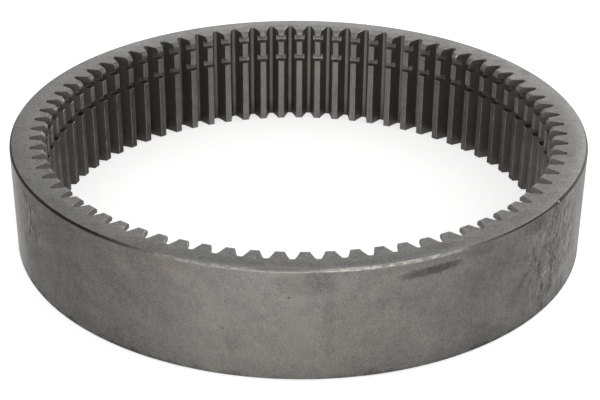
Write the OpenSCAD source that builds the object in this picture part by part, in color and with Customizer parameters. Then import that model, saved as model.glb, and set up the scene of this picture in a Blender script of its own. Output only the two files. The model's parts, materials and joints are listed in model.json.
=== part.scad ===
// Ring gear of a planetary hub reduction: a turned steel ring with involute spur teeth cut right through its
// bore, and two snap ring grooves turned across the tooth crests near the upper end. It is one solid piece.
// The gear stands on its lower face, with its axis on Z and the origin at the centre of that face.

/* [Teeth] */
// Number of teeth round the bore
teeth = 75; // [60:1:90]
// Module: pitch diameter for each tooth
tooth_module = 4; // [3.5:0.25:5]
// Pressure angle on the pitch circle, in degrees
pressure_angle = 20; // [18:0.5:24]
// Profile shift, in modules: below zero it moves the teeth inwards and makes them thicker
profile_shift = -0.25; // [-0.4:0.05:0.2]
// Height of a crest above the unshifted pitch circle, in modules
addendum_ratio = 1; // [0.8:0.05:1.05]
// Depth of a root below the unshifted pitch circle, in modules
dedendum_ratio = 1.25; // [1.1:0.05:1.35]
// Radius of the fillet between a flank and the root
root_fillet = 0.8; // [0.4:0.1:1]

/* [Ring] */
// Width of the gear along its axis
face_width = 64; // [45:0.5:90]
// Wall between the roots of the teeth and the outside
rim_wall = 11; // [7:0.5:20]
// Lead-in chamfer at the upper outer edge, measured along the axis
lead_in_length = 1.3; // [1:0.1:3]
// Lead-in chamfer at the upper outer edge, measured along the radius
lead_in_depth = 1; // [0.5:0.1:2]
// Chamfer at the lower outer edge
foot_chamfer = 1; // [0.5:0.1:2]
// Chamfer on the crests at the upper face
crest_chamfer_top = 2; // [0.5:0.1:2.5]
// Chamfer on the crests at the lower face
crest_chamfer_foot = 0.8; // [0.5:0.1:2]

/* [Snap ring grooves] */
// Land on the crests between the upper face and the upper groove
end_land = 3.7; // [2.8:0.1:6]
// Land on the crests between the two grooves, which holds the toothed carrier plate
plate_land = 9.6; // [6:0.1:14]
// Width of each groove, for a snap ring 4 mm thick
groove_width = 4.15; // [3:0.05:5]
// Depth of each groove below the crests
groove_depth = 4.5; // [2.5:0.1:6]
// Radius in the corners of a groove's floor
groove_corner = 1.2; // [0.4:0.1:1.4]

/* [Hidden] */
$fn = 180;

// Straight steps along one flank, along one root fillet and round one groove corner
flank_steps = 5;
fillet_steps = 2;
corner_steps = 2;
// How far a cutting shape runs past the surface that it cuts through
cut_past = 1;

pitch_angle = 360 / teeth;
pitch_r = teeth * tooth_module / 2;
base_r = pitch_r * cos(pressure_angle);
tip_r = pitch_r - (addendum_ratio - profile_shift) * tooth_module;
root_r = pitch_r + (dedendum_ratio + profile_shift) * tooth_module;
outer_r = root_r + rim_wall;
upper_groove_z = face_width - end_land - groove_width / 2;
lower_groove_z = upper_groove_z - plate_land - groove_width;

// Involute function in degrees, for the pressure angle at some radius
function involute(angle) = tan(angle) * 180 / PI - angle;
function pressure_angle_at(r) = acos(base_r / r);

// Half of the angle that a tooth space takes up: on the pitch circle, and at radius r
half_space_at_pitch = (90 + 2 * profile_shift * tan(pressure_angle) * 180 / PI) / teeth;
function half_space_at(r) =
    half_space_at_pitch + involute(pressure_angle) - involute(pressure_angle_at(r));

function polar(r, angle) = [r * cos(angle), r * sin(angle)];

// The fillet's centre lies on the flank's parallel curve, which is the same involute turned by fillet / base_r
fillet_centre_r = root_r - root_fillet;
fillet_centre_angle = half_space_at(fillet_centre_r) - root_fillet / base_r * 180 / PI;
fillet_sweep = 90 - pressure_angle_at(fillet_centre_r);
// The string of the involute is longer by the fillet's radius where the fillet meets the flank
fillet_start_r = norm([base_r, sqrt(pow(fillet_centre_r, 2) - pow(base_r, 2)) + root_fillet]);

// One side of a tooth space, from the crest out to the root, where the space is centred on +X
flank_points = [
    for (i = [0 : flank_steps])
        let (r = tip_r + (fillet_start_r - tip_r) * i / flank_steps) polar(r, half_space_at(r))
];
fillet_points = [
    for (i = [1 : fillet_steps])
        polar(fillet_centre_r, fillet_centre_angle)
        + polar(root_fillet, fillet_centre_angle + fillet_sweep * (1 - i / fillet_steps))
];
space_side = concat([polar(tip_r - cut_past, half_space_at(tip_r))], flank_points, fillet_points);

function reversed(points) = [for (i = [len(points) - 1 : -1 : 0]) points[i]];
function mirrored(points) = [for (p = reversed(points)) [p[0], -p[1]]];

module tooth_space() {
    polygon(concat(space_side, mirrored(space_side)));
}

module all_tooth_spaces() {
    translate([0, 0, -cut_past])
        linear_extrude(face_width + 2 * cut_past)
            for (i = [0 : teeth - 1]) rotate(i * pitch_angle) tooth_space();
}

// Corner of a groove's floor about its centre [x, z], a quarter turn from the angle start
function corner_arc(x, z, start) = [
    for (i = [0 : corner_steps])
        [x, z] + polar(groove_corner, start + 90 * i / corner_steps)
];
// Half section of a groove about the height z, from its lower edge to its upper one
function groove_section(z) =
    let (floor_r = tip_r + groove_depth, half = groove_width / 2)
    concat(
        [[tip_r, z - half]],
        corner_arc(floor_r - groove_corner, z - half + groove_corner, -90),
        corner_arc(floor_r - groove_corner, z + half - groove_corner, 0),
        [[tip_r, z + half]]
    );

// Half section of the turned ring before its teeth are cut
ring_section = concat(
    [
        [outer_r - foot_chamfer, 0],
        [outer_r, foot_chamfer],
        [outer_r, face_width - lead_in_length],
        [outer_r - lead_in_depth, face_width],
        [tip_r + crest_chamfer_top, face_width],
        [tip_r, face_width - crest_chamfer_top]
    ],
    reversed(groove_section(upper_groove_z)),
    reversed(groove_section(lower_groove_z)),
    [
        [tip_r, crest_chamfer_foot],
        [tip_r + crest_chamfer_foot, 0]
    ]
);

module turned_ring() {
    rotate_extrude() polygon(ring_section);
}

module ring_gear() {
    color("dimgray")
        difference() {
            turned_ring();
            all_tooth_spaces();
        }
}

ring_gear();
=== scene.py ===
# %% [markdown]
# # A steel ring gear, dressed around its CAD frame
# The object is one turned steel ring with 75 teeth cut through its bore and two snap ring grooves turned
# across the tooth crests. The CAD frame gives the true sizes. This notebook makes a finer visible mesh of
# the same ring, finishes its surfaces as worn, heat treated steel, and sets up a plain studio.

# %% Load the frame
import json
import math

import bmesh
import bpy
from mathutils import Matrix, Vector


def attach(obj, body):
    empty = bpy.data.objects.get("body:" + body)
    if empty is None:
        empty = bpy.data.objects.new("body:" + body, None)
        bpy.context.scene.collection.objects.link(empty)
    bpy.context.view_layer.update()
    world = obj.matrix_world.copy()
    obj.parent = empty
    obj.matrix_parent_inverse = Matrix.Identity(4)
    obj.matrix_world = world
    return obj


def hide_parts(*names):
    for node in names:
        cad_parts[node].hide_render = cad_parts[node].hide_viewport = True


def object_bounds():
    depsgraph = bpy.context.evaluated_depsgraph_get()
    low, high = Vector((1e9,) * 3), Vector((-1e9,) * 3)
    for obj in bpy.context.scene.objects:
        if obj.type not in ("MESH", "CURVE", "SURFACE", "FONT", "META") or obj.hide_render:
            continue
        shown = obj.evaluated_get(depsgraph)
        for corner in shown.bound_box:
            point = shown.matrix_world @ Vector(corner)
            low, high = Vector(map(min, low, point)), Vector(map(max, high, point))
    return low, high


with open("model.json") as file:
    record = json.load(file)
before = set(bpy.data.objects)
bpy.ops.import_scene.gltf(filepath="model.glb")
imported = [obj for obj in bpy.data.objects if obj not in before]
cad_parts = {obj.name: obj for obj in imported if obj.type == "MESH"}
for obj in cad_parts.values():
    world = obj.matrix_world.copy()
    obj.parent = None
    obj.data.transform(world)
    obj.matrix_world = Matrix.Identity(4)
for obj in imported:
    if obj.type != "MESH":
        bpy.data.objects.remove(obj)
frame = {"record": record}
cad_low, cad_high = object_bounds()
mounts = {mount["name"]: mount for mount in frame["record"]["mounts"]}
print("CAD box:", [round(side, 4) for side in cad_high - cad_low])

# %% [markdown]
# ## Sizes of the gear
# Blender works in metres, so each size is written in millimetres and scaled once. The outside and the width
# come from the frame. The tooth form has to be stated again, because the frame holds only finished faces: a
# module, a pressure angle and a profile shift are all that an involute tooth needs.

# %% Sizes of the teeth
MM = 0.001
TEETH = 75
PITCH = math.tau / TEETH
MODULE = 4 * MM
PRESSURE_ANGLE = math.radians(20)
PROFILE_SHIFT = -0.25
ADDENDUM_RATIO = 1
DEDENDUM_RATIO = 1.25
ROOT_FILLET = 0.8 * MM

outer_r = mounts["outer_seat"]["dims"]["r_mm"] * MM
face_width = cad_high.z - cad_low.z
pitch_r = TEETH * MODULE / 2
base_r = pitch_r * math.cos(PRESSURE_ANGLE)
tip_r = pitch_r - (ADDENDUM_RATIO - PROFILE_SHIFT) * MODULE
root_r = pitch_r + (DEDENDUM_RATIO + PROFILE_SHIFT) * MODULE
print(f"crests at {tip_r / MM:.1f} mm, roots at {root_r / MM:.1f} mm, outside at {outer_r / MM:.1f} mm")

# %% Sizes of the chamfers and the snap ring grooves
LEAD_IN_LENGTH = 1.3 * MM
LEAD_IN_DEPTH = 1 * MM
FOOT_CHAMFER = 1 * MM
CREST_CHAMFER_TOP = 2 * MM
CREST_CHAMFER_FOOT = 0.8 * MM
END_LAND = 3.7 * MM
PLATE_LAND = 9.6 * MM
GROOVE_WIDTH = 4.15 * MM
GROOVE_DEPTH = 4.5 * MM
GROOVE_CORNER = 1.2 * MM

groove_floor_r = tip_r + GROOVE_DEPTH
upper_groove_z = face_width - END_LAND - GROOVE_WIDTH / 2
lower_groove_z = upper_groove_z - PLATE_LAND - GROOVE_WIDTH
print(f"grooves {lower_groove_z / MM:.2f} and {upper_groove_z / MM:.2f} mm above the foot")

# %% [markdown]
# ## One tooth, as a mesh of even quads
# A gear cutter leaves an involute flank: the curve that a taut string's end draws as it unwinds from the base
# circle. Booleans could cut the spaces, but they leave ragged triangles that shade badly. Here one tooth
# pitch is laid out as a grid instead: each row is a radius, and each place along the axis is one of six
# heights, where a groove or a chamfer begins or ends.

# %% Involute flank
def involute(angle):
    return math.tan(angle) - angle


def pressure_angle_at(r):
    return math.acos(base_r / r)


def half_space(r):
    """Half of the angle that a tooth space takes up at radius r."""
    at_pitch = (math.pi / 2 + 2 * PROFILE_SHIFT * math.tan(PRESSURE_ANGLE)) / TEETH
    return at_pitch + involute(PRESSURE_ANGLE) - involute(pressure_angle_at(r))


def half_tooth(r):
    return PITCH / 2 - half_space(r)


print(f"crests are {2 * half_tooth(tip_r) * tip_r / MM:.2f} mm wide")

# %% Root fillet
FILLET_STEPS = 4

fillet_centre_r = root_r - ROOT_FILLET
fillet_centre_angle = half_space(fillet_centre_r) - ROOT_FILLET / base_r
fillet_sweep = math.pi / 2 - pressure_angle_at(fillet_centre_r)
fillet_start_r = math.hypot(base_r, math.sqrt(fillet_centre_r**2 - base_r**2) + ROOT_FILLET)


def polar(r, angle):
    return Vector((r * math.cos(angle), r * math.sin(angle)))


def fillet_point(step):
    """Radius and angle from the tooth's middle, for one step along the fillet."""
    turn = fillet_centre_angle + fillet_sweep * (1 - step / FILLET_STEPS)
    point = polar(fillet_centre_r, fillet_centre_angle) + ROOT_FILLET * polar(1, turn)
    return point.length, PITCH / 2 - math.atan2(point.y, point.x)


print(f"fillets begin at {fillet_start_r / MM:.2f} mm from the axis")

# %% Rows of the grid: radius and half angle of the tooth
CORNER_STEPS = 3
FLANK_STEPS = 3


def corner_radius(step):
    """Radius at one step round the quarter circle in a groove's corner."""
    return groove_floor_r - GROOVE_CORNER * (1 - math.sin(math.pi / 2 * step / CORNER_STEPS))


def flank_radius(step):
    """Radius at one step from the groove's floor out to the fillet."""
    return groove_floor_r + (fillet_start_r - groove_floor_r) * step / FLANK_STEPS


corner_rows = [corner_radius(step) for step in range(CORNER_STEPS + 1)]
flank_rows = [flank_radius(step) for step in range(1, FLANK_STEPS + 1)]
inner_rows = sorted([tip_r, tip_r + CREST_CHAMFER_FOOT, tip_r + CREST_CHAMFER_TOP, *corner_rows])
rows = [(r, half_tooth(r)) for r in inner_rows + flank_rows]
rows += [fillet_point(step) for step in range(1, FILLET_STEPS + 1)]
floor_row = len(inner_rows) - 1
last_row = len(rows) - 1
print(f"{len(rows)} rows, {floor_row} of them across the grooves")


# %% Heights where the grid is divided
def half_groove(r):
    """Half of a groove's width at radius r, less in the rounded corners of its floor."""
    into_corner = min(r - (groove_floor_r - GROOVE_CORNER), GROOVE_CORNER)
    if into_corner <= 0:
        return GROOVE_WIDTH / 2
    return GROOVE_WIDTH / 2 - GROOVE_CORNER + math.sqrt(GROOVE_CORNER**2 - into_corner**2)


def heights(r):
    """Six heights at radius r: the foot, both edges of each groove, and the top."""
    half = half_groove(r)
    foot = max(0.0, CREST_CHAMFER_FOOT - (r - tip_r))
    top = face_width - max(0.0, CREST_CHAMFER_TOP - (r - tip_r))
    edges = [middle + side * half for middle in (lower_groove_z, upper_groove_z) for side in (-1, 1)]
    return [foot, *edges, top]


print("heights on a crest, mm:", [round(z / MM, 2) for z in heights(tip_r)])

# %% [markdown]
# ### Zones of the surface
# A turning tool made the outside, the crests and the grooves, both ends were ground, and a shaping cutter
# made the flanks. They catch the light in different ways. A material could be painted on later by hand, but
# here every face remembers its zone as a number while it is made, and the number picks its material later.

# %% Zones, levels and columns
WALL, FACE, CREST, FLANK, LEAD_IN, EDGE = range(6)
FOOT_LEVEL, *GROOVE_LEVELS, TOP_LEVEL = range(6)
LANDS = [(0, 1), (2, 3), (4, 5)]
GROOVES = [(1, 2), (3, 4)]
TOOTH_COLUMNS = 4
RIM_COLUMNS = TOOTH_COLUMNS + 2

tooth_shares = [2 * c / TOOTH_COLUMNS - 1 for c in range(TOOTH_COLUMNS + 1)]
rim_angles = [PITCH * (c / RIM_COLUMNS - 0.5) for c in range(RIM_COLUMNS + 1)]
print(f"{TOOTH_COLUMNS} columns across a tooth, {RIM_COLUMNS} across the rim behind it")

# %% Crests, grooves and both ends of the tooth
CLOSE = 0.001 * MM
SAME_PLACE_DIGITS = 8

mesh = bmesh.new()
zone_layer = mesh.faces.layers.int.new("zone")
corners = {}


def corner(r, angle, z):
    """The vertex at one place, which is made only once."""
    key = tuple(round(value, SAME_PLACE_DIGITS) for value in (r, angle, z))
    if key not in corners:
        corners[key] = mesh.verts.new((r * math.cos(angle), r * math.sin(angle), z))
    return corners[key]


def quad(zone, *around):
    mesh.faces.new(around)[zone_layer] = zone


def grid_corner(row, level, share):
    """Corner of the tooth: share runs from -1 on one flank to 1 on the other."""
    r, half = rows[row]
    return corner(r, share * half, heights(r)[level])


def strip(zone, start, end):
    """A row of quads between two lines of the tooth, each given as (row, level)."""
    for a, b in zip(tooth_shares, tooth_shares[1:]):
        quad(zone, grid_corner(*start, a), grid_corner(*start, b), grid_corner(*end, b), grid_corner(*end, a))


for low, high in LANDS:
    strip(CREST, (0, low), (0, high))
for low, high in GROOVES:
    strip(CREST, (floor_row, low), (floor_row, high))
for row in range(floor_row):
    for level in GROOVE_LEVELS:
        strip(CREST, (row, level), (row + 1, level))
for level, chamfer in ((FOOT_LEVEL, CREST_CHAMFER_FOOT), (TOP_LEVEL, CREST_CHAMFER_TOP)):
    for row in range(last_row):
        on_chamfer = rows[row + 1][0] <= tip_r + chamfer + CLOSE
        strip(CREST if on_chamfer else FACE, (row, level), (row + 1, level))
print(f"crests, grooves and tooth ends: {len(mesh.faces)} quads")

# %% Flanks and root land
root_heights = heights(root_r)
for side in (-1, 1):
    for row in range(last_row):
        for low, high in LANDS if row < floor_row else LANDS + GROOVES:
            quad(
                FLANK,
                grid_corner(row, low, side),
                grid_corner(row + 1, low, side),
                grid_corner(row + 1, high, side),
                grid_corner(row, high, side),
            )
    seam_angle = side * PITCH / 2
    for low, high in LANDS + GROOVES:
        quad(
            FLANK,
            grid_corner(last_row, low, side),
            corner(root_r, seam_angle, root_heights[low]),
            corner(root_r, seam_angle, root_heights[high]),
            grid_corner(last_row, high, side),
        )
print(f"with flanks and root land: {len(mesh.faces)} quads")

# %% End faces of the rim, and the outside
rim_section = [
    (outer_r - FOOT_CHAMFER, 0.0),
    (outer_r, FOOT_CHAMFER),
    (outer_r, face_width - LEAD_IN_LENGTH),
    (outer_r - LEAD_IN_DEPTH, face_width),
]
fillet_end = rows[last_row][1]
root_angles = [-PITCH / 2, *[share * fillet_end for share in tooth_shares], PITCH / 2]
for rim_r, z in (rim_section[0], rim_section[-1]):
    for i in range(RIM_COLUMNS):
        quad(
            FACE,
            corner(root_r, root_angles[i], z),
            corner(root_r, root_angles[i + 1], z),
            corner(rim_r, rim_angles[i + 1], z),
            corner(rim_r, rim_angles[i], z),
        )
for zone, (r_a, z_a), (r_b, z_b) in zip((WALL, WALL, LEAD_IN), rim_section, rim_section[1:]):
    for a, b in zip(rim_angles, rim_angles[1:]):
        quad(zone, corner(r_a, a, z_a), corner(r_a, b, z_a), corner(r_b, b, z_b), corner(r_b, a, z_b))
print(f"with the rim: {len(mesh.faces)} quads")

# %% Turn every face outwards
bmesh.ops.recalc_face_normals(mesh, faces=mesh.faces)
wall_face = next(face for face in mesh.faces if face[zone_layer] == WALL)
turned_in = wall_face.normal.x < 0
if turned_in:
    bmesh.ops.reverse_faces(mesh, faces=mesh.faces)
print("faces were turned inwards and are reversed" if turned_in else "faces already point outwards")

# %% [markdown]
# ### Broken edges
# No machinist leaves an edge razor sharp: a file or a brush takes off about a fifth of a millimetre. That
# small facet is what draws the thin bright line along a real edge. A Bevel modifier could cut it on the whole
# ring. Here it is cut on this one tooth, before it is repeated, so it costs almost nothing.

# %% Break the long edges of the tooth
EDGE_BREAK = 0.18 * MM
SHORT_EDGE = 1 * MM
SHARP = math.radians(35)


def is_long_edge(edge):
    """True for the crest edges, the edges of both end faces and the outer chamfers."""
    if len(edge.link_faces) != 2 or edge.calc_face_angle(0.0) < SHARP:
        return False
    zones = {face[zone_layer] for face in edge.link_faces}
    in_groove = all(tip_r + CLOSE < vertex.co.xy.length < groove_floor_r + CLOSE for vertex in edge.verts)
    upright = abs(edge.verts[0].co.z - edge.verts[1].co.z) > SHORT_EDGE
    return zones != {CREST, FLANK} or (upright and not in_groove)


def edge_zone(face):
    """The lead-in chamfer's upper edge keeps its black scale, and its lower edge is worn like the outside."""
    middle = face.calc_center_median()
    if middle.xy.length < outer_r - LEAD_IN_DEPTH - EDGE_BREAK or middle.z < face_width / 2:
        return EDGE
    return LEAD_IN if middle.z > face_width - LEAD_IN_LENGTH / 2 else WALL


broken = [edge for edge in mesh.edges if is_long_edge(edge)]
bevel = bmesh.ops.bevel(
    mesh, geom=broken, offset=EDGE_BREAK, segments=1, profile=0.5, affect="EDGES", clamp_overlap=True
)
for face in bevel["faces"]:
    face[zone_layer] = edge_zone(face)
tooth_mesh = bpy.data.meshes.new("tooth_pitch")
mesh.to_mesh(tooth_mesh)
mesh.free()
print(f"{len(broken)} edges broken, {len(tooth_mesh.polygons)} faces in one tooth pitch")

# %% [markdown]
# ## Helpers for building node trees
# Geometry trees and shader trees are both wired by hand, which reads badly as loose lines. Three small
# helpers keep it short: put() adds a node, sets its inputs from values or from other nodes' sockets, and
# returns one output, new_group() opens a node group, and give() closes it.

# %% Node helpers
VECTOR, FLOAT, COLOUR = "NodeSocketVector", "NodeSocketFloat", "NodeSocketColor"
WHOLE_NUMBER, GEOMETRY = "NodeSocketInt", "NodeSocketGeometry"


def put(tree, kind, inputs=None, output=0, **settings):
    """Adds a node to a tree and returns one of its outputs. A key is an input's name or its number."""
    node = tree.nodes.new(kind)
    for name, value in settings.items():
        setattr(node, name, value)
    for key, value in (inputs or {}).items():
        if isinstance(value, bpy.types.NodeSocket):
            tree.links.new(value, node.inputs[key])
        else:
            node.inputs[key].default_value = value
    return node.outputs[output]


def new_group(name, inputs, outputs, kind="ShaderNodeTree"):
    """A node group with named sockets: inputs as (name, type, default), outputs as (name, type)."""
    group = bpy.data.node_groups.new(name, kind)
    for socket_name, socket_type, default in inputs:
        socket = group.interface.new_socket(socket_name, in_out="INPUT", socket_type=socket_type)
        if default is not None:
            socket.default_value = default
    for socket_name, socket_type in outputs:
        group.interface.new_socket(socket_name, in_out="OUTPUT", socket_type=socket_type)
    given = group.nodes.new("NodeGroupInput").outputs
    out = group.nodes.new("NodeGroupOutput").inputs
    return group, given, out


def give(group, out, results):
    """Links each result to the group's output of that name, and says what was made."""
    for name, socket in results.items():
        group.links.new(socket, out[name])
    print(f"group {group.name}: {len(group.nodes)} nodes, gives {', '.join(results)}")
    return group


print("node helpers:", ", ".join(helper.__name__ for helper in (put, new_group, give)))

# %% [markdown]
# # Finishes
# The whole ring is one kind of steel, but each tool left its own surface on it. The outside was turned and
# then heat treated, the end faces were ground, the flanks were shaped, and the lead-in chamfer kept its black
# scale except where it has been knocked about. One material could hold them all behind masks, but six plain
# ones are easier to read. What they share is built once as node groups.
#
# ### Places on the ring
# A pattern has to know where it is. Object coordinates give the place in metres, and from it come the
# distance from the axis and the height above the foot.

# %% Group: places on the ring
def vector(tree, operation, a, b=(0, 0, 0)):
    """Vector Math: a length comes out as a value, anything else as a vector."""
    output = "Value" if operation == "LENGTH" else "Vector"
    return put(tree, "ShaderNodeVectorMath", {0: a, 1: b}, output=output, operation=operation)


def flat(tree, place):
    """The place as seen along the axis, with its height set to 0."""
    return vector(tree, "MULTIPLY", place, (1, 1, 0))


def make_places():
    """Where a point lies on the ring, in metres: its place, its radius and its height."""
    group, _, out = new_group("ring_places", [], [("Place", VECTOR), ("Radius", FLOAT), ("Height", FLOAT)])
    place = put(group, "ShaderNodeTexCoord", output="Object")
    radius = vector(group, "LENGTH", flat(group, place))
    height = put(group, "ShaderNodeSeparateXYZ", {0: place}, output="Z")
    return give(group, out, {"Place": place, "Radius": radius, "Height": height})


places_group = make_places()

# %% [markdown]
# ### Mottling
# Heat treated steel is never one grey. Three noises of very different sizes give it depth: clouds of a few
# centimetres, blotches of a few millimetres, and a sandy grain.

# %% Group: mottling of heat treated steel
CLOUD_SCALE, BLOTCH_SCALE, GRAIN_SCALE = 24, 130, 1600
CLOUD_SQUEEZE = (1, 1, 1.6)


def calc(tree, operation, a, b=0.0, c=0.0):
    return put(tree, "ShaderNodeMath", {0: a, 1: b, 2: c}, operation=operation)


def times(tree, a, b):
    return calc(tree, "MULTIPLY", a, b)


def noise(tree, place, scale, detail=3.0, roughness=0.5, distortion=0.0):
    """Noise around zero."""
    inputs = {"Vector": place, "Scale": scale, "Detail": detail, "Roughness": roughness}
    texture = put(tree, "ShaderNodeTexNoise", {**inputs, "Distortion": distortion})
    return calc(tree, "SUBTRACT", texture, 0.5)


def make_mottling():
    inputs = [("Place", VECTOR, None), ("Clouds", FLOAT, 1.0)]
    inputs += [("Blotches", FLOAT, 1.0), ("Grain", FLOAT, 1.0)]
    outputs = [("Tone", FLOAT), ("Grain", FLOAT), ("Clouds", FLOAT)]
    group, given, out = new_group("mottling", inputs, outputs)
    place = given["Place"]
    squeezed = vector(group, "MULTIPLY", place, CLOUD_SQUEEZE)
    clouds = noise(group, squeezed, CLOUD_SCALE, detail=3, distortion=0.8)
    blotches = noise(group, place, BLOTCH_SCALE, detail=4, roughness=0.7, distortion=0.4)
    grain = noise(group, place, GRAIN_SCALE, detail=1, roughness=0.7)
    tone = times(group, clouds, given["Clouds"])
    tone = calc(group, "MULTIPLY_ADD", blotches, given["Blotches"], tone)
    tone = calc(group, "MULTIPLY_ADD", grain, given["Grain"], tone)
    return give(group, out, {"Tone": tone, "Grain": grain, "Clouds": clouds})


mottling_group = make_mottling()

# %% [markdown]
# ### A ragged patch
# Stains, smears, pits and knocks each sit at one place. Their outlines could be painted, but an ellipsoid
# with a noisy rim gives the same kind of mark from a centre and three half sizes: radial, tangential and
# axial.

# %% Group: a ragged patch at one place
RIM_NOISE_SCALE = 220


def between(tree, value, start, full, at_start=0.0, at_full=1.0):
    """0 up to start and 1 from full on, or other values, with smooth ends. full may lie below start."""
    inputs = {"Value": value, "From Min": start, "From Max": full, "To Min": at_start, "To Max": at_full}
    return put(tree, "ShaderNodeMapRange", inputs, interpolation_type="SMOOTHSTEP")


def rotated(tree, place, axis, angle):
    return put(tree, "ShaderNodeVectorRotate", {"Vector": place, "Angle": angle}, rotation_type=axis)


def turned_back(tree, place, turn):
    """Turns the ring so that the side at the angle turn faces +X."""
    return rotated(tree, place, "Z_AXIS", times(tree, turn, -1.0))


def make_patch():
    inputs = [("Place", VECTOR, None), ("Centre", VECTOR, None), ("Turn", FLOAT, 0.0)]
    inputs += [("Size", VECTOR, (0.01, 0.01, 0.01)), ("Lean", FLOAT, 0.0), ("Ragged", FLOAT, 0.5)]
    group, given, out = new_group("patch", inputs, [("Mask", FLOAT)])
    offset = vector(group, "SUBTRACT", given["Place"], given["Centre"])
    local = turned_back(group, offset, given["Turn"])
    scaled = vector(group, "DIVIDE", rotated(group, local, "X_AXIS", given["Lean"]), given["Size"])
    ragged = times(group, noise(group, given["Place"], RIM_NOISE_SCALE), given["Ragged"])
    distance = calc(group, "ADD", vector(group, "LENGTH", scaled), ragged)
    return give(group, out, {"Mask": between(group, distance, start=1.15, full=0.45)})


patch_group = make_patch()

# %% [markdown]
# ### A stretch of the ring
# Wear, oil and tone change slowly round the ring. A gradient would have to be unwrapped. The angle between a
# point and one side of the ring gives the same thing directly: 1 within the angle Spread of that side,
# falling to 0 over the angle Fade.

# %% Group: a stretch of the ring
def make_stretch():
    inputs = [("Place", VECTOR, None), ("Turn", FLOAT, 0.0), ("Spread", FLOAT, 0.5), ("Fade", FLOAT, 0.2)]
    group, given, out = new_group("stretch_of_ring", inputs, [("Mask", FLOAT)])
    facing = vector(group, "NORMALIZE", flat(group, turned_back(group, given["Place"], given["Turn"])))
    angle = calc(group, "ARCCOSINE", put(group, "ShaderNodeSeparateXYZ", {0: facing}))
    past = calc(group, "DIVIDE", calc(group, "SUBTRACT", angle, given["Spread"]), given["Fade"])
    return give(group, out, {"Mask": between(group, past, start=1.0, full=0.0)})


stretch_group = make_stretch()

# %% [markdown]
# ### Wavy scratches
# Where the ring has been dragged or gripped, long thin lines wander up its side. The middle level of a noise
# is such a line, and dividing the place by a spacing and a length draws the lines out along the axis.

# %% Group: wavy scratches
def make_scratches():
    inputs = [("Place", VECTOR, None), ("Turn", FLOAT, 0.0), ("Spacing", FLOAT, 0.003)]
    inputs += [("Length", FLOAT, 0.02), ("Width", FLOAT, 0.04), ("Wander", FLOAT, 0.6)]
    group, given, out = new_group("wavy_scratches", inputs, [("Lines", FLOAT)])
    local = turned_back(group, given["Place"], given["Turn"])
    across, along = given["Spacing"], given["Length"]
    drawn_out = put(group, "ShaderNodeCombineXYZ", {"X": across, "Y": across, "Z": along})
    scaled = vector(group, "DIVIDE", local, drawn_out)
    ridge = calc(group, "ABSOLUTE", noise(group, scaled, 1.0, detail=2.0, distortion=given["Wander"]))
    from_line = calc(group, "DIVIDE", ridge, given["Width"])
    return give(group, out, {"Lines": between(group, from_line, start=1.0, full=0.0)})


scratches_group = make_scratches()

# %% [markdown]
# ### The steel's colour
# Every finish mixes the same two tints, a nearly neutral grey and a rusty brown, and takes its brightness
# from a level. Tone is the change from that level as a share, so marks of all kinds can simply be added up.

# %% Group: the steel's colour
GREY_TINT = (1.0, 1.0, 0.965, 1)
RUSTY_TINT = (1.28, 0.97, 0.7, 1)
DARKEST = 0.05
# A Mix node has sockets for every kind of value: these are its factor, its two colours and the mixed colour
MIX_FACTOR, MIX_FIRST, MIX_SECOND, MIX_RESULT = 0, 6, 7, 2


def make_steel_colour():
    inputs = [("Level", FLOAT, 0.22), ("Tone", FLOAT, 0.0), ("Warmth", FLOAT, 0.2)]
    group, given, out = new_group("steel_colour", inputs, [("Colour", COLOUR)])
    tints = {MIX_FACTOR: given["Warmth"], MIX_FIRST: GREY_TINT, MIX_SECOND: RUSTY_TINT}
    tint = put(group, "ShaderNodeMix", tints, output=MIX_RESULT, data_type="RGBA", clamp_factor=True)
    share = calc(group, "MAXIMUM", calc(group, "ADD", given["Tone"], 1.0), DARKEST)
    level = times(group, given["Level"], share)
    colour = put(group, "ShaderNodeVectorMath", {0: tint, "Scale": level}, operation="SCALE")
    return give(group, out, {"Colour": colour})


colour_group = make_steel_colour()

# %% [markdown]
# ### One class to hold a finish while it is built
# Every finish starts in the same way, with the places on the ring and the mottling, and ends in the same way,
# with colour, roughness and bump. A small class keeps that in one spot, so that each material below only says
# what is special about its own surface. All angles that it takes are in degrees and all lengths in metres.

# %% Finish
CLOUD_WARMTH = 0.3
TONE_REACH = 0.5
SCRATCH_WANDER = 1.6
FRONT, BACK = 270, 90
UNSHADED_SPREAD, UNSHADED_FADE = 5, 60


def opposite(tree, mask):
    return calc(tree, "SUBTRACT", 1.0, mask)


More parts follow.
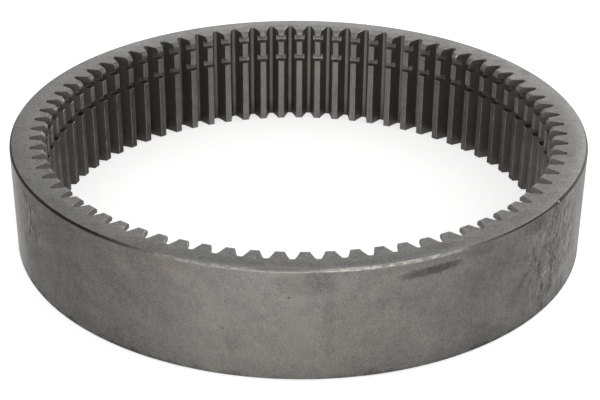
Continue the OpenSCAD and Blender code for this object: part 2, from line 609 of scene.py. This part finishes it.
class Finish:
    """One steel material. Its tone and its warmth are sockets, and every mark is added to them."""

    def __init__(self, name, level, roughness, metallic, warmth, clouds, blotches, grain):
        self.material = bpy.data.materials.new(name)
        self.material.use_nodes = True
        self.tree = self.material.node_tree
        self.shader = self.tree.nodes["Principled BSDF"].inputs
        self.shader["Metallic"].default_value = metallic
        self.level = level
        self.roughness = roughness
        places = self.use(places_group, {}).node.outputs
        self.place, self.radius, self.height = places["Place"], places["Radius"], places["Height"]
        strengths = {"Clouds": clouds, "Blotches": blotches, "Grain": grain}
        mottled = self.use(mottling_group, {"Place": self.place, **strengths}).node.outputs
        self.tone, self.grain, self.clouds = mottled["Tone"], mottled["Grain"], mottled["Clouds"]
        self.warmth = calc(self.tree, "MULTIPLY_ADD", self.clouds, CLOUD_WARMTH, warmth)

    def use(self, group, inputs):
        return put(self.tree, "ShaderNodeGroup", inputs, node_tree=group)

    def noise(self, drawn_out, scale):
        """Noise that is longer along each axis by the numbers in drawn_out."""
        return noise(self.tree, vector(self.tree, "DIVIDE", self.place, drawn_out), scale, detail=2.0)

    def patch(self, azimuth, height, size, radius=outer_r, lean=0, ragged=0.5):
        """1 inside a ragged patch. size holds its radial, tangential and axial half sizes."""
        turn = math.radians(azimuth)
        centre = (radius * math.cos(turn), radius * math.sin(turn), height)
        form = {"Turn": turn, "Size": size, "Lean": math.radians(lean), "Ragged": ragged}
        return self.use(patch_group, {"Place": self.place, "Centre": centre, **form})

    def stretch(self, azimuth, spread, fade):
        """1 within spread of the azimuth, and 0 past the fade."""
        angles = {"Turn": azimuth, "Spread": spread, "Fade": fade}
        angles = {name: math.radians(angle) for name, angle in angles.items()}
        return self.use(stretch_group, {"Place": self.place, **angles})

    def scratches(self, azimuth, spacing, length, width):
        """1 along wavy lines. width is no length: a line reaches as far from 0 as that in the noise."""
        form = {"Turn": math.radians(azimuth), "Spacing": spacing, "Length": length, "Width": width}
        return self.use(scratches_group, {"Place": self.place, **form, "Wander": SCRATCH_WANDER})

    def bore_sides_shade(self):
        """1 on both sides of the bore and 0 at the front and the back: where painted shade falls."""
        ends = [self.stretch(azimuth, UNSHADED_SPREAD, UNSHADED_FADE) for azimuth in (BACK, FRONT)]
        return opposite(self.tree, calc(self.tree, "ADD", *ends))

    def change(self, mask, tone=0.0, warmth=0.0, within=None):
        """Adds to the tone and the warmth where the mask is. A second mask, within, limits the first."""
        if within is not None:
            mask = times(self.tree, mask, within)
        if tone:
            self.tone = calc(self.tree, "MULTIPLY_ADD", mask, tone, self.tone)
        if warmth:
            self.warmth = calc(self.tree, "MULTIPLY_ADD", mask, warmth, self.warmth)

    def tell(self, step):
        print(f"{self.material.name}, {step}: {len(self.tree.nodes)} nodes")

    def done(self, bump, shine=0.1):
        """Wires colour, roughness and bump to the shader. Lighter steel is smoother, by up to the shine."""
        colour = self.use(colour_group, {"Level": self.level, "Tone": self.tone, "Warmth": self.warmth})
        dull, smooth = self.roughness + shine, self.roughness - shine
        roughness = between(self.tree, self.tone, -TONE_REACH, TONE_REACH, dull, smooth)
        normal = put(self.tree, "ShaderNodeBump", {"Distance": bump, "Height": self.grain})
        for name, socket in {"Base Color": colour, "Roughness": roughness, "Normal": normal}.items():
            self.tree.links.new(socket, self.shader[name])
        self.tell("done")
        return self.material


print("a finish can", ", ".join(name for name in vars(Finish) if not name.startswith("_")))

# %% [markdown]
# ### The outside
# Turning and heat treatment left a warm, cloudy grey with a sandy grain. Round the ring, what the outside
# mirrors grows lighter and darker, and that is painted in as painted reflections, with a painted highlight at
# the front. An image could hold that, but it would have to be painted and unwrapped. Here a few wide
# stretches of the ring are made lighter or darker for that painted light, and two are made greyer, as the
# steel's own tint.

# %% Outside: bare steel, its painted reflections and its tint
outside = Finish(
    "outside_steel", level=0.205, roughness=0.5, metallic=0.9, warmth=0.16,
    clouds=0.5, blotches=0.42, grain=1.15,
)
# Lighter and darker stretches are painted reflections, and the one at 254 degrees is a painted highlight; the
# greyer ones are the steel's tint
outside.change(outside.stretch(azimuth=187, spread=11, fade=14), tone=0.34)
outside.change(outside.stretch(azimuth=203, spread=18, fade=20), warmth=-0.05)
outside.change(outside.stretch(azimuth=222, spread=14, fade=20), tone=-0.3)
outside.change(outside.stretch(azimuth=254, spread=10, fade=22), tone=0.18)
outside.change(outside.stretch(azimuth=313, spread=8, fade=14), tone=-0.16)
outside.change(outside.stretch(azimuth=320, spread=15, fade=20), warmth=-0.07)
outside.change(outside.noise(drawn_out=(1, 1, 1.4), scale=380), tone=0.2)
outside.tell("drifting tone")

# %% [markdown]
# Handling left the rest: an oily smear just under the top edge, faint stains, two small pits, and bright
# steel where the lead-in chamfer's lower edge has been knocked. The marks are patches, each at its own place.
# The knocked edge is a stretch of the ring, kept to a narrow band of heights.

# %% Outside: smear, stains, pits and the knocked edge
MARK_DEPTH = 20 * MM
SMEAR_SIZE = (MARK_DEPTH, 20 * MM, 2.9 * MM)
PIT_SIZE = (3 * MM, 0.8 * MM, 0.8 * MM)

smear = outside.patch(azimuth=293.2, height=56.4 * MM, size=SMEAR_SIZE, lean=-3, ragged=0.4)
outside.change(smear, tone=-0.48)

# Azimuth in degrees, height, half width and half height in mm, change of tone, change of warmth
STAINS = (
    (246.8, 59.5, 11, 3, -0.1, 0.2),
    (258.5, 22.0, 5, 9, -0.12, 0.0),
    (271.0, 57.0, 17, 10, -0.22, 0.0),
    (275.0, 30.0, 4, 24, -0.1, 0.0),
    (303.0, 39.6, 6, 9, -0.1, -0.05),
    (304.0, 9.0, 12, 9, -0.1, -0.05),
    (309.0, 50.0, 12, 10, -0.05, -0.05),
    (304.0, 60.5, 14, 4, -0.14, 0.0),
    (317.5, 59.8, 11, 6, -0.27, 0.0),
    (326.0, 61.0, 9, 4, -0.22, 0.0),
)
for azimuth, height, half_width, half_height, tone, warmth in STAINS:
    size = (MARK_DEPTH, half_width * MM, half_height * MM)
    outside.change(outside.patch(azimuth, height * MM, size, ragged=0.7), tone, warmth)
for azimuth, height in ((256.8, 28.2), (268.3, 48.5)):
    outside.change(outside.patch(azimuth, height * MM, PIT_SIZE), tone=-0.5)

knocks_begin, knocks_are_full = face_width - 1.75 * MM, face_width - 1.45 * MM
top_edge = between(outside.tree, outside.height, start=knocks_begin, full=knocks_are_full)
outside.change(outside.stretch(azimuth=275, spread=32, fade=10), tone=0.1, within=top_edge)
outside.change(outside.stretch(azimuth=286, spread=5, fade=8), tone=0.35, within=top_edge)
outside.tell(f"smear, {len(STAINS)} stains, pits and knocked edge")

# %% [markdown]
# On each side, where the ring has been dragged or gripped, the steel is scuffed. A scuff is a large ragged
# patch that holds wavy scratches, both bright and dark, with bright flecks, dark pits and an uneven tone.

# %% Outside: scuffs
SCUFF_RAGGED = 1.2
DARK_LINES_TURN = 7


def scuff(azimuth, height, size, lean):
    zone = outside.patch(azimuth, height, size, lean=lean, ragged=SCUFF_RAGGED)
    bright = outside.scratches(azimuth, spacing=7 * MM, length=22 * MM, width=0.045)
    dark = outside.scratches(azimuth + DARK_LINES_TURN, spacing=9 * MM, length=30 * MM, width=0.05)
    fine = outside.noise(drawn_out=(2, 2, 2), scale=420)
    coarser = outside.noise(drawn_out=(2.5, 2.5, 2.5), scale=420)
    uneven_tone = outside.noise(drawn_out=(1, 1, 1.6), scale=90)
    outside.change(bright, tone=0.3, within=zone)
    outside.change(dark, tone=-0.42, within=zone)
    outside.change(between(outside.tree, fine, start=0.14, full=0.22), tone=0.35, within=zone)
    outside.change(between(outside.tree, coarser, start=-0.14, full=-0.24), tone=-0.35, within=zone)
    outside.change(uneven_tone, tone=0.5, within=zone)


scuff(azimuth=327.0, height=34 * MM, size=(25 * MM, 42 * MM, 42 * MM), lean=0)
scuff(azimuth=208.5, height=42 * MM, size=(20 * MM, 15 * MM, 24 * MM), lean=25)
outside.tell("scuffs")

# %% [markdown]
# Towards the table the outside is darker, as painted shade: softly over the last centimetre and a half, and
# sharply on the chamfer that faces down. Just above it lies ragged dirt. The ragged rim is a height that
# noise has moved up and down.

# %% Outside: the foot
PAINTED_FOOT_SHADE = 14 * MM
RAGGED_BY = 14 * MM

# Painted shade: darker towards the table, and darker still on the chamfer that faces down
painted_foot_shade = between(outside.tree, outside.height, start=PAINTED_FOOT_SHADE, full=0.0)
painted_chamfer_shade = between(outside.tree, outside.height, start=1.8 * MM, full=0.8 * MM)
uneven = outside.noise(drawn_out=(1, 1, 1), scale=180)
uneven_height = calc(outside.tree, "MULTIPLY_ADD", uneven, -RAGGED_BY, outside.height)
foot_dirt = between(outside.tree, uneven_height, start=3 * MM, full=1 * MM)
outside.change(painted_foot_shade, tone=-0.15)
outside.change(painted_chamfer_shade, tone=-0.4)
outside.change(foot_dirt, tone=-0.25)
outside_steel = outside.done(bump=0.035 * MM)

# %% [markdown]
# ### The end faces
# Grinding left very fine straight marks across the whole face, which are noise drawn out along one axis. Oil
# has stained the face near the roots, the outer rim is rubbed brighter at the front, and a painted sheen
# lightens the face behind on the right.

# %% End faces: grinding marks, stains, the rubbed rim and a painted sheen
face = Finish(
    "ground_face_steel", level=0.212, roughness=0.48, metallic=0.95, warmth=0.04,
    clouds=0.25, blotches=0.5, grain=1.25,
)
face.change(face.noise(drawn_out=(9, 1, 1), scale=900), tone=0.22)
face.change(face.noise(drawn_out=(4, 1, 1), scale=160), tone=0.15)
near_roots = between(face.tree, face.radius, start=158 * MM, full=153 * MM)
stained = between(face.tree, face.noise(drawn_out=(1, 1, 1), scale=130), start=0.02, full=0.16)
face.change(stained, tone=-0.16, within=near_roots)
rubbed_rim = between(face.tree, face.radius, start=outer_r - 5 * MM, full=outer_r - 2 * MM)
face.change(face.stretch(azimuth=276, spread=20, fade=16), tone=0.25, within=rubbed_rim)
# A painted sheen: the face is lighter behind on the right
face.change(face.stretch(azimuth=24, spread=6, fade=12), tone=0.12)
face.tell("grinding marks")

# %% [markdown]
# Knocks on the tooth ends and on the outer edge show as small bright spots, and fingers have left smudges.

# %% End faces: knocks and smudges
SPOT_SIZE = (1.0 * MM, 0.8 * MM, 1.5 * MM)
SMUDGE_HEIGHT = 5 * MM

# Azimuth in degrees and radius in mm
SPOTS = ((138.6, 151.8), (294.4, 164.0), (174.9, 163.6), (262.0, 155.0), (250.5, 153.5))
for azimuth, radius in SPOTS:
    spot = face.patch(azimuth, face_width, SPOT_SIZE, radius=radius * MM, ragged=0.8)
    face.change(spot, tone=0.5)

# Azimuth in degrees, radius, radial and tangential half sizes in mm, change of tone
SMUDGES = (
    (34.0, 158, 4, 10, -0.16),
    (27.5, 160, 4, 6, -0.14),
    (218.0, 158, 4, 16, -0.08),
    (296.0, 157, 3, 12, -0.1),
    (316.0, 158, 3, 12, -0.1),
)
for azimuth, radius, radial, tangential, tone in SMUDGES:
    size = (radial * MM, tangential * MM, SMUDGE_HEIGHT)
    face.change(face.patch(azimuth, face_width, size, radius=radius * MM, ragged=0.9), tone)
face_steel = face.done(bump=0.02 * MM)

# %% [markdown]
# ### Crests and grooves
# These were turned like the outside, but whatever was pushed in and out of the bore has rubbed them along the
# axis since, so their marks are drawn out along Z. The grooves kept oil and dirt, which is why they look
# brown beside the grey crests. One mask finds a groove by its radius, and another keeps the chamfer at the
# top clean.

# %% Crests and grooves: rubbing marks and dirt
crest = Finish(
    "crest_steel", level=0.25, roughness=0.5, metallic=0.97, warmth=0.14,
    clouds=0.3, blotches=0.5, grain=0.8,
)
crest.change(crest.noise(drawn_out=(1, 1, 12), scale=700), tone=0.3)
in_groove = between(crest.tree, crest.radius, start=tip_r + 0.3 * MM, full=tip_r + 1.2 * MM)
top_chamfer = between(crest.tree, crest.height, start=face_width - 2.2 * MM, full=face_width - 1.8 * MM)
below_top = opposite(crest.tree, top_chamfer)
dirt = times(crest.tree, in_groove, below_top)
crest.change(dirt, warmth=0.06)
crest.change(crest.noise(drawn_out=(1, 1, 1), scale=90), tone=0.8, within=dirt)
crest.tell("marks and dirt")

# %% [markdown]
# Painted shade darkens both sides of the bore and makes them a little browner, most of all on the long lands
# below the grooves and in the grooves. The chamfer at the top is speckled and partly lightened as a painted
# highlight, and one tooth has a bright knock on it.

# %% Crests and grooves: painted shade, speckles with a painted highlight, and a knock
GROOVE_SHADE_SHARE = 0.8
KNOCK_SIZE = (1.6 * MM, 1.1 * MM, 1.3 * MM)

# Painted shade on both sides of the bore, deepest on the long lower lands and in the grooves, a little
# browner below the top chamfer
bore_sides_shade = crest.bore_sides_shade()
groove_foot = lower_groove_z - GROOVE_WIDTH / 2
long_land = between(crest.tree, crest.height, start=lower_groove_z, full=groove_foot)
deepest_shade = calc(crest.tree, "MAXIMUM", long_land, times(crest.tree, dirt, GROOVE_SHADE_SHARE))
crest.change(bore_sides_shade, tone=-0.3)
crest.change(bore_sides_shade, tone=-0.36, within=deepest_shade)
crest.change(bore_sides_shade, warmth=0.1, within=below_top)
crest.change(crest.stretch(azimuth=134, spread=4, fade=12), tone=-0.13)
# Speckles on the top chamfer, which also lighten it as a painted highlight
speckles_and_sheen = between(crest.tree, crest.noise(drawn_out=(1, 1, 1), scale=500), start=-0.02, full=0.2)
crest.change(speckles_and_sheen, tone=0.25, within=top_chamfer)
knock = crest.patch(azimuth=45.1, height=62.9 * MM, size=KNOCK_SIZE, radius=146.1 * MM, ragged=0.8)
crest.change(knock, tone=1.4)
crest_steel = crest.done(bump=0.03 * MM)

# %% [markdown]
# ### Flanks and roots
# The shaping cutter moved along the axis, so its marks run up and down the flanks, as noise that is drawn out
# along Z. Painted shade darkens the flanks towards the foot and in the roots on both sides of the bore, and a
# painted light makes them lighter behind on the right.

# %% Flanks and roots
flank = Finish(
    "flank_steel", level=0.19, roughness=0.5, metallic=0.92, warmth=0.12,
    clouds=0.5, blotches=0.3, grain=0.5,
)
flank.change(flank.noise(drawn_out=(1, 1, 25), scale=900), tone=0.35)
# Painted shade towards the foot
flank.change(between(flank.tree, flank.height, start=PAINTED_FOOT_SHADE, full=0.0), tone=-0.4)
# Painted light behind on the right
flank.change(flank.stretch(azimuth=45, spread=35, fade=15), tone=0.15)
in_root = between(flank.tree, flank.radius, start=root_r - 1.8 * MM, full=root_r - 0.5 * MM)
# Painted shade in the roots on both sides of the bore
flank.change(flank.bore_sides_shade(), tone=-0.35, within=in_root)
flank.change(calc(flank.tree, "ABSOLUTE", flank.clouds), warmth=0.5)
flank_steel = flank.done(bump=0.02 * MM)

# %% [markdown]
# ### The lead-in chamfer
# Its black scale still draws a thin dark line round most of the ring, a little paler behind on the right,
# where painted light lightens it. On the front, where the ring is set down and pushed about, the scale is
# gone:
# along both edges of the chamfer first, and then right across it, fading out to both sides. Two painted
# glints lie on the bare steel, uneven along the short strokes in which it was rubbed.

# %% Lead-in chamfer: where the scale is gone
PAINTED_LIGHT_BEHIND = 0.12

lead_in = Finish(
    "lead_in_steel", level=0.2, roughness=0.5, metallic=0.97, warmth=0.15,
    clouds=0.1, blotches=0.15, grain=0.3,
)
middle_height = calc(lead_in.tree, "SUBTRACT", lead_in.height, face_width - LEAD_IN_LENGTH / 2)
from_middle = calc(lead_in.tree, "ABSOLUTE", middle_height)
both_edges = between(lead_in.tree, from_middle, start=0.1 * MM, full=0.6 * MM)
along_rim = lead_in.noise(drawn_out=(1, 1, 0.35), scale=300)
strokes = between(lead_in.tree, along_rim, start=-0.14, full=0.14)
knocked = times(lead_in.tree, lead_in.stretch(azimuth=284.5, spread=36.5, fade=6), both_edges)
rubbed = lead_in.stretch(azimuth=273, spread=22, fade=22)
rubbed = times(lead_in.tree, rubbed, calc(lead_in.tree, "MULTIPLY_ADD", strokes, 0.15, 0.85))
bare = calc(lead_in.tree, "MAXIMUM", knocked, rubbed)
# Painted light: the scale is a little paler behind on the right
painted_light_behind = times(lead_in.tree, lead_in.stretch(azimuth=30, spread=60, fade=20), PAINTED_LIGHT_BEHIND)
scale = opposite(lead_in.tree, calc(lead_in.tree, "MAXIMUM", bare, painted_light_behind))
lead_in.change(scale, tone=-0.87)
lead_in.change(bare, tone=0.2)
lead_in.tell("scale and bare steel")

# %% Lead-in chamfer: painted glints, warmth and a nick
NICK_SIZE = (1.3 * MM, 1.1 * MM, 0.8 * MM)

# Painted glints: two bright stretches of the bare steel, uneven along the rubbing strokes
left_painted_glint = lead_in.stretch(azimuth=252, spread=5, fade=10)
right_painted_glint = lead_in.stretch(azimuth=286, spread=6, fade=12)
painted_glints = calc(lead_in.tree, "MULTIPLY_ADD", left_painted_glint, 0.5, right_painted_glint)
uneven_glints = calc(lead_in.tree, "MULTIPLY_ADD", strokes, 0.8, 0.5)
lead_in.change(times(lead_in.tree, painted_glints, bare), tone=1.6, within=uneven_glints)
lead_in.change(opposite(lead_in.tree, strokes), warmth=0.12, within=bare)
nick = lead_in.patch(azimuth=325.4, height=63.5 * MM, size=NICK_SIZE, ragged=0.3)
lead_in.change(nick, tone=1.6)
lead_in_steel = lead_in.done(bump=0.02 * MM, shine=0.05)

# %% [markdown]
# ### The broken edges
# A filed edge is the barest steel on the ring, and it is rubbed more in some places than in others. It is
# lighter than the faces beside it, in small noisy stretches, and on the sides of the bore painted shade dims
# it.

# %% Broken edges
edge = Finish(
    "edge_steel", level=0.24, roughness=0.45, metallic=1.0, warmth=0.08,
    clouds=0.6, blotches=0.8, grain=0.6,
)
rubbed_bits = between(edge.tree, edge.noise(drawn_out=(1, 1, 1), scale=300), start=-0.1, full=0.2)
edge.change(rubbed_bits, tone=0.5)
inside = between(edge.tree, edge.radius, start=root_r, full=tip_r + 4 * MM)
# Painted shade on both sides of the bore
edge.change(edge.bore_sides_shade(), tone=-0.2, within=inside)
edge_steel = edge.done(bump=0.02 * MM)

# %% [markdown]
# ## Repeating the tooth
# A pattern that follows a rule is what Geometry Nodes are for: a cloud of points at the origin, one for each
# tooth, each turned one pitch further than the last, with the tooth mesh standing on every point. Realizing
# the instances and merging the seams gives a plain closed ring.

# %% Geometry Nodes tree
materials = {
    WALL: outside_steel,
    FACE: face_steel,
    CREST: crest_steel,
    FLANK: flank_steel,
    LEAD_IN: lead_in_steel,
    EDGE: edge_steel,
}


def make_ring_tree():
    """Repeats the tooth that it is given and sets a material for each zone."""
    inputs = [("Tooth", GEOMETRY, None), ("Teeth", WHOLE_NUMBER, TEETH), ("Seam", FLOAT, CLOSE)]
    tree, given, out = new_group("ring_of_teeth", inputs, [("Ring", GEOMETRY)], kind="GeometryNodeTree")
    points = put(tree, "GeometryNodePoints", {"Count": given["Teeth"]})
    index = put(tree, "GeometryNodeInputIndex")
    share = put(tree, "ShaderNodeMath", {0: index, 1: given["Teeth"]}, operation="DIVIDE")
    # Half a pitch on, so that a tooth space and not a tooth is centred on +X, as in the frame
    turns = put(tree, "ShaderNodeMath", {0: share, 1: math.tau, 2: PITCH / 2}, operation="MULTIPLY_ADD")
    stood = {"Points": points, "Instance": given["Tooth"]}
    stood["Rotation"] = put(tree, "ShaderNodeCombineXYZ", {"Z": turns})
    ring = put(tree, "GeometryNodeInstanceOnPoints", stood)
    ring = put(tree, "GeometryNodeRealizeInstances", {0: ring})
    ring = put(tree, "GeometryNodeMergeByDistance", {"Geometry": ring, "Distance": given["Seam"]})
    zone = put(tree, "GeometryNodeInputNamedAttribute", {"Name": "zone"}, data_type="INT")
    for number, material in materials.items():
        chosen = put(tree, "FunctionNodeCompare", {2: zone, 3: number}, data_type="INT", operation="EQUAL")
        dressed = {"Geometry": ring, "Selection": chosen, "Material": material}
        ring = put(tree, "GeometryNodeSetMaterial", dressed)
    return give(tree, out, {"Ring": ring})


ring_tree = make_ring_tree()


# %% Run the tree and keep its mesh
def socket_id(tree, name):
    """A modifier knows an input of its tree by this identifier and not by its name."""
    sockets = [item for item in tree.interface.items_tree if item.in_out == "INPUT"]
    return next(socket.identifier for socket in sockets if socket.name == name)


def add_object(name, data):
    """Puts an object into the scene, at the origin."""
    made = bpy.data.objects.new(name, data)
    bpy.context.scene.collection.objects.link(made)
    return made


for material in materials.values():
    tooth_mesh.materials.append(material)
tooth = add_object("tooth_pitch", tooth_mesh)
modifier = tooth.modifiers.new("ring_of_teeth", "NODES")
modifier.node_group = ring_tree
modifier[socket_id(ring_tree, "Teeth")] = TEETH
evaluated = tooth.evaluated_get(bpy.context.evaluated_depsgraph_get())
ring_mesh = bpy.data.meshes.new_from_object(evaluated)
ring_mesh.name = "toothed_ring"
ring = add_object("toothed_ring", ring_mesh)
bpy.data.objects.remove(tooth)
print(f"ring: {len(ring_mesh.vertices)} vertices, {len(ring_mesh.polygons)} faces")

# %% [markdown] The faces are small, so they are shaded smoothly, but every edge past a set angle stays
# crisp.

# %% Smooth shading, and the ring's place in the frame
for polygon in ring_mesh.polygons:
    polygon.use_smooth = True
ring_mesh.set_sharp_from_angle(angle=SHARP)

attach(ring, "root")
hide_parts("ring_gear")
print(f"ring: {sum(line.use_edge_sharp for line in ring_mesh.edges)} sharp edges")

# %% [markdown]
# # Studio
# ## Camera
# The photo was taken from a little above the ring, and its lens axis lies left of the image's middle, as in a
# cropped photo. The camera first looks at the centre of the upper face from a set turn, height and distance,
# and then three small angles aim it. Its focal length and its shift are worked out from pixels of the photo.

# %% Camera
VIEW_TURN = math.radians(-0.58)
VIEW_HEIGHT = math.radians(25.2)
VIEW_DISTANCE = 5.089 * outer_r
PAN, TILT, ROLL = -0.0388, -0.0529, 0.00455
SENSOR_WIDTH = 36
FOCAL_PIXELS, IMAGE_WIDTH = 1447.3, 600
LENS_AXIS_PIXEL = 240


def turned_pair(a, b, angle):
    """Turns two directions that stand at right angles in their own plane, the first towards the second."""
    return a * math.cos(angle) + b * math.sin(angle), b * math.cos(angle) - a * math.sin(angle)


camera_data = bpy.data.cameras.new("photo_camera")
camera_data.sensor_width = SENSOR_WIDTH
camera_data.lens = FOCAL_PIXELS * SENSOR_WIDTH / IMAGE_WIDTH
camera_data.shift_x = 0.5 - LENS_AXIS_PIXEL / IMAGE_WIDTH
camera = add_object("photo_camera", camera_data)
bpy.context.scene.camera = camera
place = VIEW_DISTANCE * Vector((0, -math.cos(VIEW_HEIGHT), math.sin(VIEW_HEIGHT)))
ahead = -place.normalized()
right = Vector((1, 0, 0))
up = right.cross(ahead)
ahead, right = turned_pair(ahead, right, PAN)
ahead, up = turned_pair(ahead, up, TILT)
right, up = turned_pair(right, up, ROLL)
axes = Matrix((right, up, -ahead)).transposed().to_4x4()
spin = Matrix.Rotation(VIEW_TURN, 4, "Z")
camera.matrix_world = Matrix.Translation((0, 0, face_width)) @ spin @ Matrix.Translation(place) @ axes
print(f"camera: {camera_data.lens:.1f} mm lens, {VIEW_DISTANCE:.2f} m away")

# %% [markdown]
# ## Table and surround
# Both are white, and bare metal is only as bright as what it mirrors. More lamps would make them white and
# flood the steel. So each gives out some light of its own, by how it is looked at: enough to be white in the
# camera, less in a mirror, and on dull surfaces less still, or none from the table. The table keeps the
# ring's shadow, because only part of its white is its own.

# %% Table
TABLE_SIDE = 8.0
TABLE_SEEN, TABLE_MIRRORED = 0.63, 0.42
TABLE_COLOUR = (0.9, 0.9, 0.9, 1)
WHITE = (1, 1, 1, 1)


def seen_directly(tree):
    """Two masks: 1 where the camera itself looks, and 1 where a mirror or glass looks."""
    path = put(tree, "ShaderNodeLightPath").node.outputs
    mirrored = calc(tree, "MAXIMUM", path["Is Glossy Ray"], path["Is Transmission Ray"])
    return path["Is Camera Ray"], mirrored


half = TABLE_SIDE / 2
table_corners = [(-half, -half, 0), (half, -half, 0), (half, half, 0), (-half, half, 0)]
table_mesh = bpy.data.meshes.new("table")
table_mesh.from_pydata(table_corners, [], [(0, 1, 2, 3)])
white_table = bpy.data.materials.new("white_table")
white_table.use_nodes = True
tree = white_table.node_tree
table_shader = tree.nodes["Principled BSDF"].inputs
table_shader["Base Color"].default_value = TABLE_COLOUR
table_shader["Roughness"].default_value = 1.0
table_shader["Specular IOR Level"].default_value = 0.0
table_shader["Emission Color"].default_value = WHITE
by_camera, by_mirror = seen_directly(tree)
glow = calc(tree, "MULTIPLY_ADD", by_camera, TABLE_SEEN, times(tree, by_mirror, TABLE_MIRRORED))
tree.links.new(glow, table_shader["Emission Strength"])
table_mesh.materials.append(white_table)
table = add_object("table", table_mesh)
print(f"table: {TABLE_SIDE:.0f} m square")

# %% Surround
SURROUND_DIFFUSE, SURROUND_MIRRORED, SURROUND_SEEN = 0.5, 0.7, 1.0

world = bpy.data.worlds.new("studio")
bpy.context.scene.world = world
world.use_nodes = True
tree = world.node_tree
background = tree.nodes["Background"].inputs
background["Color"].default_value = WHITE
by_camera, by_mirror = seen_directly(tree)
strength = calc(tree, "MULTIPLY_ADD", by_mirror, SURROUND_MIRRORED - SURROUND_DIFFUSE, SURROUND_DIFFUSE)
strength = calc(tree, "MULTIPLY_ADD", by_camera, SURROUND_SEEN - SURROUND_DIFFUSE, strength)
tree.links.new(strength, background["Strength"])
print(f"surround: {SURROUND_SEEN} seen, {SURROUND_MIRRORED} mirrored, {SURROUND_DIFFUSE} on dull surfaces")

# %% [markdown]
# ## Lamps
# Four square soft boxes do the rest. A strong one behind on the right makes the ground face shine, and one in
# front brightens the middle of the outside. A weak one stands behind, and a faint one shines down from the
# right. Small bright lamps would give the steel hard glints that soft studio light doesn't have.

# %% Soft boxes
BOX_DISTANCE, BOX_SIZE = 1.6, 1.0


def soft_box(name, azimuth, elevation, radiance):
    """A square lamp that looks at the ring, as bright as radiance all over its face."""
    data = bpy.data.lights.new(name, "AREA")
    data.shape = "SQUARE"
    data.size = BOX_SIZE
    data.energy = radiance * math.pi * BOX_SIZE**2
    across, upwards = math.radians(azimuth), math.radians(elevation)
    level = math.cos(upwards)
    towards = Vector((math.cos(across) * level, math.sin(across) * level, math.sin(upwards)))
    lamp = add_object(name, data)
    lamp.location = BOX_DISTANCE * towards
    lamp.rotation_mode = "QUATERNION"
    lamp.rotation_quaternion = (-towards).to_track_quat("-Z", "Y")
    print(f"{name}: {data.energy:.1f} W")


soft_box("box_behind_right", azimuth=45, elevation=15, radiance=2.4)
soft_box("box_behind", azimuth=90, elevation=15, radiance=0.8)
soft_box("box_in_front", azimuth=270, elevation=15, radiance=2.3)
soft_box("box_above_right", azimuth=0, elevation=45, radiance=0.25)
bpy.context.scene.view_settings.view_transform = "Standard"
